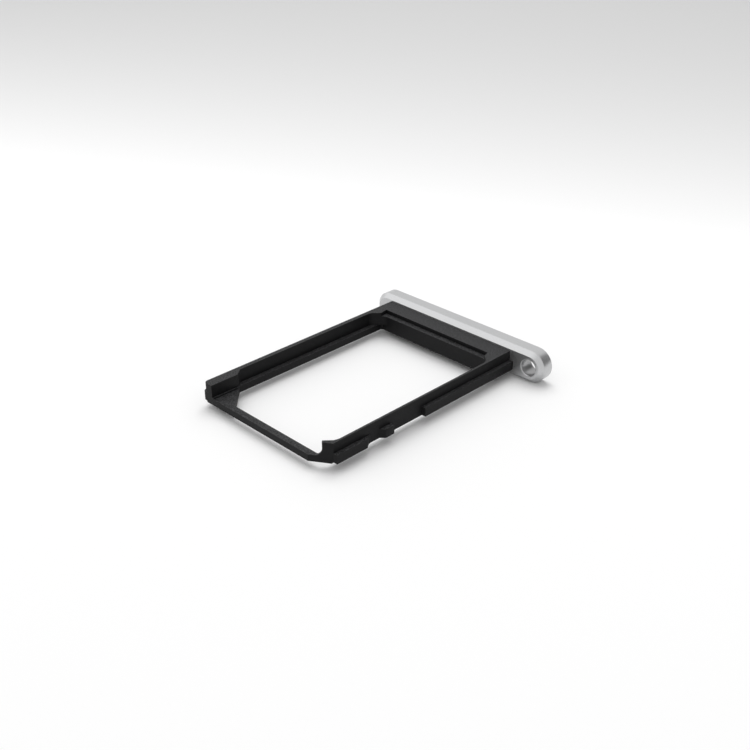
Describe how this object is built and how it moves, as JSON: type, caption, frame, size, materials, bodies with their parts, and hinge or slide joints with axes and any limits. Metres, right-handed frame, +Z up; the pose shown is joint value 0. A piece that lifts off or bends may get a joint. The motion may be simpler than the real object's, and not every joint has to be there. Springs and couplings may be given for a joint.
{
  "type": "sim card tray",
  "caption": "Slide-in card tray for a phone or tablet: open moulded frame with side rails and a stepped card space, closed by a rounded metal end cap with an eject hole.",
  "frame": {"origin": "under the middle of the whole tray, at the level of the underside of the end cap", "axes": "+Y from the open front of the tray to its end cap, the way it is pulled out; +Z up out of the card space; the eject hole is on the +X side"},
  "size_m": [0.0128, 0.0152, 0.0019],
  "materials": {
    "frame": "fine matt moulded surface",
    "cap": "fine bead-blasted, with a brighter cut edge"
  },
  "bodies": {
    "root": {"tray_frame": "frame", "end_cap": "cap"}
  },
  "joints": []
}
